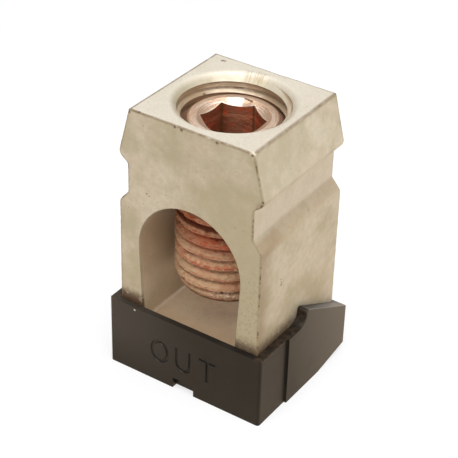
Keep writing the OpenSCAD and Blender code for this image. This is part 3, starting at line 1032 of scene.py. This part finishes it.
def opening_outline(lug, steps=40):
    """The wire opening from the front, anticlockwise: a round arch on walls that lean in to the floor."""
    centre = Vector((0, LUG_LOW.z + lug.floor_thickness + lug.arch_height))
    corner = Vector((lug.opening_radius - lug.wall_taper, -lug.arch_height))
    touch = math.atan2(corner.y, corner.x) + math.acos(lug.opening_radius / corner.length)
    turn = math.pi - 2 * touch
    arch = []
    for k in range(steps + 1):
        a = touch + turn * k / steps
        arch.append(centre + lug.opening_radius * Vector((math.cos(a), math.sin(a))))
    floor_corners = [((side * corner.x, centre.y + corner.y), FLOOR_CORNER) for side in (-1, 1)]
    whole = [((p.x, p.y), 0) for p in arch] + floor_corners
    return rounded_outline(whole, 4)


def rounded_stations(end, radius, steps=3):
    """Stations of an edge rounded at the low end of a prism, from the face inwards."""
    turns = [math.pi / 2 * k / steps for k in range(steps + 1)]
    return [(end + radius * (1 - math.cos(t)), radius * (1 - math.sin(t))) for t in turns]


def outline_gap(outline, p):
    """Distance in the XZ plane from a point to an outline."""
    here = Vector((p.x, p.z))
    best = 1.0
    for i, a in enumerate(outline):
        b = outline[(i + 1) % len(outline)]
        along = b - a
        share = min(max((here - a).dot(along) / along.length_squared, 0), 1)
        best = min(best, (a + along * share - here).length)
    return best


def lumps(p, coarse, fine, share):
    """Unevenness at a place: coarse lumps and a share of fine ones."""
    return noise.noise(p / coarse) + share * noise.noise(p / fine)


def build_lug_blank(lug):
    """The cut length of extrusion, with its sawn edges rounded and a little uneven."""
    corners = lug_corners(lug)
    counts = side_counts(rounded_outline(corners), OUTLINE_STEP)
    end = LUG_LOW.y
    radius = lug.edge_radius
    strip = radius + lug.edge_band
    cap = [(end, 6 * radius), (end, 3 * radius), (end, strip)]
    side = [(end + strip, 0), (end + 3 * radius, 0), (end + 6 * radius, 0)]
    near_half = cap + rounded_stations(end, radius) + side
    stations = near_half + [(-y, inset) for y, inset in reversed(near_half)]
    rings = []
    for y, inset in stations:
        outline = rounded_outline(inset_corners(corners, inset))
        rings.append([Vector((p.x, y, p.y)) for p in divided_outline(outline, counts)])
    knocked = Vector((lug.top_width / 2, LUG_LOW.y, LUG_HIGH.z))
    for ring in rings:
        for p in ring:
            if edge_gap(lug, p) < strip + 0.05 * MM:
                inwards = Vector((-p.x, -p.y, LUG_HIGH.z / 2 - p.z)).normalized()
                p += inwards * max(lumps(p, *EDGE_LUMPS), 0) * lug.edge_wander
            near = max(0, 1 - (p - knocked).length / (3 * lug.corner_droop))
            p += Vector(KNOCKED_WAY) * near * near * lug.corner_droop
    return skin_rings(rings, "lug_body_plated")


def edge_gap(lug, p):
    """Distance from a point on the body to a sawn edge or to an edge of the flat top, where it is small."""
    reach = 1.0 * MM
    gap = reach
    from_end = LUG_HIGH.y - abs(p.y)
    if from_end < reach:
        gap = max(from_end, outline_gap(rounded_outline(lug_corners(lug)), p))
    top_edge = Vector((abs(p.x) - lug.top_width / 2, p.z - LUG_HIGH.z)).length
    return min(gap, top_edge)


def opening_cutter(lug):
    """The wire opening, flared a little at both mouths."""
    flare = lug.edge_radius
    end = LUG_LOW.y
    mouth = [(end - OVER, -flare), (end, -flare), (end + 0.3 * flare, -0.4 * flare), (end + flare, 0)]
    far = [(-y, inset) for y, inset in reversed(mouth)]
    return prism("Y", opening_outline(lug), mouth + far, "opening_cutter")


def tapped_hole_cutter(lug, screw):
    """The tapped thread, from the flat top down into the wire opening."""
    corners = ridge_corners(screw, lug.thread_room)
    low = LUG_LOW.z + lug.floor_thickness + lug.arch_height
    return thread_solid(screw, corners, low, LUG_HIGH.z + OVER, "tapped_hole_cutter")


def countersink_cutter(lug):
    """The countersink's cone with a softened rim."""
    fall = math.pi / 2 - lug.countersink_angle / 2
    profile = cone_profile(lug.countersink_radius, fall, lug.countersink_lip, LUG_HIGH.z)
    return lathe(profile, "countersink_cutter")


def cone_profile(radius, fall, lip, top):
    """Profile of a cone cut into a flat top: apex, rim softened by the lip's radius, and room above."""
    start = radius + lip * math.tan(fall / 2)
    profile = [(0, top - radius * math.tan(fall))]
    for k in range(LIP_STEPS + 1):
        a = fall * (1 - 0.97 * k / LIP_STEPS)
        profile.append((start - lip * math.sin(a), top - lip * (1 - math.cos(a))))
    return profile + [(start + lip, top + OVER), (0, top + OVER)]


def build_lug(lug, screw, material):
    """The whole body: blank, wire opening, tapped hole and countersink."""
    piece = build_lug_blank(lug)
    combine(piece, opening_cutter(lug), "DIFFERENCE")
    combine(piece, tapped_hole_cutter(lug, screw), "DIFFERENCE")
    combine(piece, countersink_cutter(lug), "DIFFERENCE")
    strip = lug.edge_radius + 0.3 * lug.edge_band
    shoulder_z = LUG_HIGH.z - lug.head_height - 0.5 * MM
    shoulder = Vector((lug.shoulder_width / 2 - 0.4 * MM, LUG_LOW.y, shoulder_z))

    def edge_at(p):
        return 1.0 if edge_gap(lug, p) < strip or (p - shoulder).length < 1.0 * MM else 0.0

    mark_vertices(piece, "edge", edge_at)
    shade(piece)
    fit_to_body(piece, "lug_body", "lug", material)


# The clamp screw

def hex_cutter(screw):
    """The hex socket with rounded corners."""
    corner = screw.hex_across / 2 / math.cos(math.pi / 6)
    turns = [screw.hex_turn + math.tau * i / 6 for i in range(6)]
    corners = [((corner * math.cos(t), corner * math.sin(t)), screw.hex_corner) for t in turns]
    stations = [(SCREW_HIGH.z - screw.hex_depth, 0), (SCREW_HIGH.z + OVER, 0)]
    return prism("Z", rounded_outline(corners, 3), stations, "hex_cutter")


def lead_in_cutter(screw):
    """The cone that leads into the socket, with a softened rim."""
    profile = cone_profile(screw.hex_lead / 2, LEAD_IN_FALL, screw.rim_radius, SCREW_HIGH.z)
    return lathe(profile, "lead_in_cutter")


def turned_blank(screw):
    """The round blank that the thread is rolled on: chamfered tip, chamfered driving end."""
    low, high = SCREW_LOW.z, SCREW_HIGH.z
    # The blank stands clear of the thread's crests between its chamfers
    clear = 0.05 * MM
    radius = SCREW_HIGH.x + clear
    soft = screw.rim_radius
    tip = SCREW_HIGH.x - screw.tip_chamfer
    ring = SCREW_HIGH.x - screw.end_chamfer
    slope = screw.tip_chamfer / screw.tip_height
    profile = [
        (0, low), (tip - soft, low), (tip, low + 0.4 * soft),
        (radius, low + screw.tip_height + clear / slope), (radius, high - screw.end_chamfer - clear),
        (ring + 0.6 * soft, high - 0.6 * soft), (ring, high - 0.2 * soft), (ring - 0.7 * soft, high),
        (0, high),
    ]
    return lathe(profile, "clamp_screw_plated")


def ridge_corners(screw, room=0.0):
    """One ridge of the thread as (share of the pitch, radius) corners, moved outwards by some room."""
    lean = math.tan(FLANK_ANGLE)
    flank = (1 - screw.crest_share - screw.root_share) / 2
    crest = SCREW_HIGH.x + room
    root = crest - flank * screw.pitch / lean
    low = screw.root_share / 2 - room * lean / screw.pitch
    return [(low, root), (low + flank, crest), (1 - low - flank, crest), (1 - low, root)]


def rolled_thread(screw):
    """The screw's thread, longer than the blank, with a seam along its crest and nicks in it."""
    foot, first, last, far_foot = ridge_corners(screw)
    radius = first[1]
    soft = 0.04
    worn = radius - 0.6 * screw.seam_depth
    crest = [
        (first[0], worn), (first[0] + soft, radius), (0.5 - soft, radius), (0.5, radius - screw.seam_depth),
        (0.5 + soft, radius), (last[0] - soft, radius), (last[0], worn),
    ]
    low, high = SCREW_LOW.z - 2 * OVER, SCREW_HIGH.z + 2 * OVER
    corners = [foot] + crest + [far_foot]
    columns = 3 * TURN_COLUMNS
    thread = thread_solid(screw, corners, low, high, "rolled_thread", 1, columns)
    for v in thread.data.vertices:
        out = Vector((v.co.x, v.co.y, 0))
        if out.length > radius - 2 * screw.seam_depth and low + OVER < v.co.z < high - OVER:
            share = ((v.co.z - screw.thread_start) / screw.pitch - math.atan2(out.y, out.x) / math.tau) % 1
            # Each edge of the crest wanders as a whole, so that the crest gets thinner and can't fold over
            apart = math.copysign(CREST_EDGES_APART, share - 0.5)
            edge = v.co + Vector((0, 0, (0.5 - share) * screw.pitch + apart))
            wander = min(max(lumps(edge, *CREST_LUMPS), 0), MOST_WANDER)
            nick = max(0, noise.noise(v.co / NICK_SIZE) - 0.2) + 0.25 * abs(noise.noise(v.co / PIT_SIZE))
            v.co -= out.normalized() * nick * screw.nick_depth
            v.co.z += (1 - 2 * share) * wander * screw.crest_wander
    return thread


def build_screw(screw, material):
    """The whole screw: turned blank, rolled thread and hex socket."""
    piece = turned_blank(screw)
    combine(piece, rolled_thread(screw), "INTERSECT")
    combine(piece, lead_in_cutter(screw), "DIFFERENCE")
    combine(piece, hex_cutter(screw), "DIFFERENCE")
    shade(piece)
    fit_to_body(piece, "clamp_screw", "screw", material)


# The base shoe

def shoe_outline(shoe):
    """The shoe seen from the right, anticlockwise: flat rim, swept catch, ramp and lead-in."""
    front, rear = SHOE_LOW.y, SHOE_HIGH.y
    catch_y = front + shoe.catch_from_front
    catch_z = shoe.rim_height + shoe.catch_height
    ramp_end = catch_z - (rear - catch_y) * math.tan(shoe.ramp_angle)
    corners = [
        ((front, 0), 0),
        ((rear - shoe.lead_in_length, 0), 0),
        ((rear, shoe.lead_in_height), 0),
        ((rear, ramp_end), 0),
        ((catch_y, catch_z), shoe.crest_radius),
        ((catch_y, shoe.rim_height), shoe.catch_sweep),
        ((front, shoe.rim_height), 0),
    ]
    return rounded_outline(corners, 8)


def letter_outlines(shoe):
    """Outlines of O, U and T on the XZ plane, each about its own middle, with its hole's outline or None."""
    height = shoe.letter_height
    stroke = shoe.letter_stroke
    half = height / 2

    def arc(a, b, middle, first, last, steps):
        turns = [first + (last - first) * k / steps for k in range(steps + 1)]
        return [Vector((a * math.cos(t), middle + b * math.sin(t))) for t in turns]

    def oval(a, b):
        return arc(a, b, 0, 0, math.tau, 40)[:-1]

    wide = NARROW_LETTER * height
    inner = wide - stroke
    bowl = wide - half
    low = arc(wide, wide, bowl, math.pi, math.tau, 16)
    high = arc(inner, inner, bowl, math.tau, math.pi, 16)
    u_shape = [Vector((-wide, half))] + low + [Vector((wide, half)), Vector((inner, half))] + high
    u_shape.append(Vector((-inner, half)))
    arm = half - stroke
    stem = stroke / 2
    t_points = [
        (-stem, -half), (stem, -half), (stem, arm), (wide, arm),
        (wide, half), (-wide, half), (-wide, arm), (-stem, arm),
    ]
    t_shape = [Vector(p) for p in t_points]
    o_outer = oval(ROUND_LETTER * height, half)
    o_inner = oval(ROUND_LETTER * height - stroke, half - stroke)
    return (o_outer, o_inner), (u_shape, None), (t_shape, None)


def cut_letters(piece, shoe):
    """Sinks the word into the front wall, with soft upper edges and a little draft."""
    face = SHOE_LOW.y
    soft = LETTER_SOFT
    middle = shoe.letter_base + shoe.letter_height / 2
    deepest = face + shoe.letter_depth
    stations = [(face - OVER / 2, -2 * soft), (face, -soft), (face + soft, 0), (deepest, soft)]
    for i, (outer, inner) in enumerate(letter_outlines(shoe)):
        offset = Vector(((i - 1) * shoe.letter_pitch, middle))
        cutter = prism("Y", [p + offset for p in outer], stations, "letter_cutter")
        if inner:
            island_stations = [(y, -inset) for y, inset in stations]
            island_stations.append((face + 2 * shoe.letter_depth, -soft))
            island = prism("Y", [p + offset for p in inner], island_stations, "letter_island")
            combine(cutter, island, "DIFFERENCE")
        combine(piece, cutter, "DIFFERENCE")


def shoe_plan(lug, shoe):
    """The shoe from above, anticlockwise: round front corners, and wings that stand proud behind them."""
    tray = lug.body_width / 2 + shoe.wall_room + shoe.side_thickness
    wing = SHOE_HIGH.x
    front, rear = SHOE_LOW.y, SHOE_HIGH.y
    step = front + shoe.wing_from_front
    right = [((tray, front), shoe.corner_radius), ((tray, step), 0), ((wing, step), 0), ((wing, rear), 0)]
    left = [((-x, y), radius) for (x, y), radius in reversed(right)]
    return rounded_outline(right + left, 5)


def build_shoe(lug, shoe, material):
    """The whole shoe: side view crossed with plan, pocket, notch, rounded edges and the sunk word."""
    wide = SHOE_HIGH.x + OVER
    tall = SHOE_HIGH.z + OVER
    piece = prism("X", shoe_outline(shoe), [(-wide, 0), (wide, 0)], "base_shoe_moulded")
    combine(piece, prism("Z", shoe_plan(lug, shoe), [(-OVER, 0), (tall, 0)], "plan"), "INTERSECT")
    pocket_x = lug.body_width / 2 + shoe.wall_room
    pocket_y = LUG_HIGH.y + shoe.wall_room
    pocket = block((-pocket_x, -pocket_y, shoe.floor_thickness), (pocket_x, pocket_y, tall), "pocket")
    combine(piece, pocket, "DIFFERENCE")
    half_notch = shoe.notch_width / 2
    notch_rear = SHOE_LOW.y + shoe.notch_depth
    notch_low = (-half_notch, SHOE_LOW.y - OVER, -OVER)
    notch = block(notch_low, (half_notch, notch_rear, shoe.notch_height), "notch")
    combine(piece, notch, "DIFFERENCE")
    bevel = piece.modifiers.new("Moulded edges", "BEVEL")
    bevel.width = shoe.edge_radius
    bevel.segments = MOULDED_STEPS
    bevel.limit_method = "ANGLE"
    bevel.angle_limit = MOULDED_ANGLE
    apply_modifier(piece, bevel)
    cut_letters(piece, shoe)
    shade(piece)
    fit_to_body(piece, "base_shoe", "lug", material)


# The studio

def floor_finish(white_share):
    """A white floor that keeps the object's shadow and is near white to the camera and in reflections."""
    coat = Finish("studio_floor", (1, 1, 1))
    seen = coat.add("LightPath").outputs
    direct = coat.either(seen["Is Camera Ray"], seen["Is Transmission Ray"])
    away = coat.add("VectorMath", {0: coat.place}, operation="LENGTH").outputs["Value"]
    clear = coat.level(coat.ramp(away, 60, 140), 1.0 - white_share, white_share)
    share = coat.maths("ADD", coat.times(direct, clear), seen["Is Glossy Ray"], clamp=True)
    coat.tint(MIRRORED_FLOOR, seen["Is Glossy Ray"])
    matt = coat.add("BsdfDiffuse", {"Color": FLOOR_PAINT})
    white = coat.add("Emission", {"Color": coat.tone, "Strength": 1.0})
    coat.join(coat.add("MixShader", {0: share, 1: matt, 2: white}), coat.output.inputs["Surface"])
    coat.tree.nodes.remove(coat.shader)
    return coat.material


def build_floor(stage):
    """The studio's floor."""
    bm = bmesh.new()
    bmesh.ops.create_grid(bm, x_segments=1, y_segments=1, size=FLOOR_REACH)
    floor = object_from(bm, "studio_floor")
    floor.data.materials.append(floor_finish(stage.floor_white))


def build_world(stage):
    """Even light from all round, white to the camera and in reflections."""
    world = bpy.data.worlds.new("studio")
    world.use_nodes = True
    bpy.context.scene.world = world
    nodes = Nodes(world.node_tree)
    background = world.node_tree.nodes["Background"].inputs
    seen = nodes.add("LightPath").outputs
    direct = nodes.either(seen["Is Camera Ray"], seen["Is Transmission Ray"])
    nodes.join(nodes.level(direct, 1.0 - stage.world_strength, stage.world_strength), background["Strength"])
    nodes.join((1, 1, 1), background["Color"])


def add_soft_box(name, place, aim, size, watts):
    """A square area lamp that points at a place."""
    data = bpy.data.lights.new(name, "AREA")
    data.shape = "SQUARE"
    data.size = size
    data.energy = watts
    lamp = bpy.data.objects.new(name, data)
    lamp.visible_camera = False
    lamp.location = place
    lamp.rotation_euler = (Vector(aim) - Vector(place)).to_track_quat("-Z", "Y").to_euler()
    bpy.context.scene.collection.objects.link(lamp)


def add_camera(stage):
    """The camera, where the photograph was taken from."""
    turn, rise = stage.azimuth, stage.elevation
    back = Vector((math.sin(turn) * math.cos(rise), -math.cos(turn) * math.cos(rise), math.sin(rise)))
    right = Vector((math.cos(turn), math.sin(turn), 0))
    up = back.cross(right)
    rolled = right * math.cos(stage.roll) + up * math.sin(stage.roll)
    axes = Matrix((rolled, back.cross(rolled), back)).transposed()
    data = bpy.data.cameras.new("camera")
    data.sensor_fit = "HORIZONTAL"
    data.sensor_width = SENSOR_MM
    data.lens = stage.focal_px * SENSOR_MM / IMAGE_PX
    data.clip_start = 0.01
    camera = bpy.data.objects.new("camera", data)
    camera.matrix_world = Matrix.Translation(Vector(stage.look_at) + back * stage.distance) @ axes.to_4x4()
    bpy.context.scene.collection.objects.link(camera)
    bpy.context.scene.camera = camera


# Operators

class CABLELUG_OT_lug_body(bpy.types.Operator):
    """Build the tin-plated body with its opening and tapped hole"""

    bl_idname = "cable_lug.lug_body"
    bl_label = "Lug Body"
    bl_options = {"REGISTER", "UNDO"}

    def execute(self, context):
        scene = context.scene
        finish = tin_plate_finish(scene.lug_finishes, scene.lug_sizes, scene.lug_screw)
        build_lug(scene.lug_sizes, scene.lug_screw, finish)
        return {"FINISHED"}


class CABLELUG_OT_clamp_screw(bpy.types.Operator):
    """Build the copper-plated clamp screw with its thread and socket"""

    bl_idname = "cable_lug.clamp_screw"
    bl_label = "Clamp Screw"
    bl_options = {"REGISTER", "UNDO"}

    def execute(self, context):
        scene = context.scene
        finish = copper_plate_finish(scene.lug_finishes, scene.lug_screw)
        build_screw(scene.lug_screw, finish)
        return {"FINISHED"}


class CABLELUG_OT_base_shoe(bpy.types.Operator):
    """Build the moulded base shoe with its latch wings and sunk word"""

    bl_idname = "cable_lug.base_shoe"
    bl_label = "Base Shoe"
    bl_options = {"REGISTER", "UNDO"}

    def execute(self, context):
        scene = context.scene
        finish = black_plastic_finish(scene.lug_finishes, scene.lug_sizes, scene.lug_shoe)
        build_shoe(scene.lug_sizes, scene.lug_shoe, finish)
        return {"FINISHED"}


class CABLELUG_OT_stage(bpy.types.Operator):
    """Build the floor, the light and the camera"""

    bl_idname = "cable_lug.stage"
    bl_label = "Studio"
    bl_options = {"REGISTER", "UNDO"}

    def execute(self, context):
        stage = context.scene.lug_stage
        aim = (0, 0, LUG_HIGH.z / 2)
        build_floor(stage)
        build_world(stage)
        add_soft_box("top_lamp", (0.06, -0.14, 0.6), aim, 0.45, stage.top_watts)
        add_soft_box("side_lamp", (0.6, 0.1, 0.35), aim, 0.4, stage.side_watts)
        add_soft_box("front_lamp", (-0.12, -0.5, 0.42), aim, 0.4, stage.front_watts)
        add_soft_box("rear_card", (0, 0.2, 0.04), (0, 0, LUG_HIGH.z / 4), 0.03, stage.card_watts)
        add_camera(stage)
        context.scene.view_settings.view_transform = "Standard"
        return {"FINISHED"}


class CABLELUG_PT_panel(bpy.types.Panel):
    """Lists the settings and the pieces"""

    bl_label = "Cable Lug"
    bl_idname = "CABLELUG_PT_panel"
    bl_space_type = "VIEW_3D"
    bl_region_type = "UI"
    bl_category = "Cable Lug"

    def draw(self, context):
        for settings, operator in PANEL_ROWS:
            box = self.layout.box()
            group = getattr(context.scene, settings)
            for name in group.bl_rna.properties.keys():
                if name not in ("rna_type", "name"):
                    box.prop(group, name)
            if operator:
                box.operator(operator)


PANEL_ROWS = (
    ("lug_sizes", "cable_lug.lug_body"),
    ("lug_screw", "cable_lug.clamp_screw"),
    ("lug_shoe", "cable_lug.base_shoe"),
    ("lug_finishes", None),
    ("lug_stage", "cable_lug.stage"),
)
SETTINGS = {
    "lug_sizes": LugSettings,
    "lug_screw": ScrewSettings,
    "lug_shoe": ShoeSettings,
    "lug_finishes": FinishSettings,
    "lug_stage": StageSettings,
}
OPERATORS = (CABLELUG_OT_lug_body, CABLELUG_OT_clamp_screw, CABLELUG_OT_base_shoe, CABLELUG_OT_stage)


def register():
    for group in SETTINGS.values():
        bpy.utils.register_class(group)
    for operator in OPERATORS:
        bpy.utils.register_class(operator)
    bpy.utils.register_class(CABLELUG_PT_panel)
    for name, group in SETTINGS.items():
        setattr(bpy.types.Scene, name, PointerProperty(type=group))


def unregister():
    for name in SETTINGS:
        delattr(bpy.types.Scene, name)
    bpy.utils.unregister_class(CABLELUG_PT_panel)
    for operator in reversed(OPERATORS):
        bpy.utils.unregister_class(operator)
    for group in reversed(list(SETTINGS.values())):
        bpy.utils.unregister_class(group)


def main():
    """Builds the whole model."""
    register()
    bpy.ops.cable_lug.lug_body()
    bpy.ops.cable_lug.clamp_screw()
    bpy.ops.cable_lug.base_shoe()
    bpy.ops.cable_lug.stage()


if __name__ == "__main__":
    main()
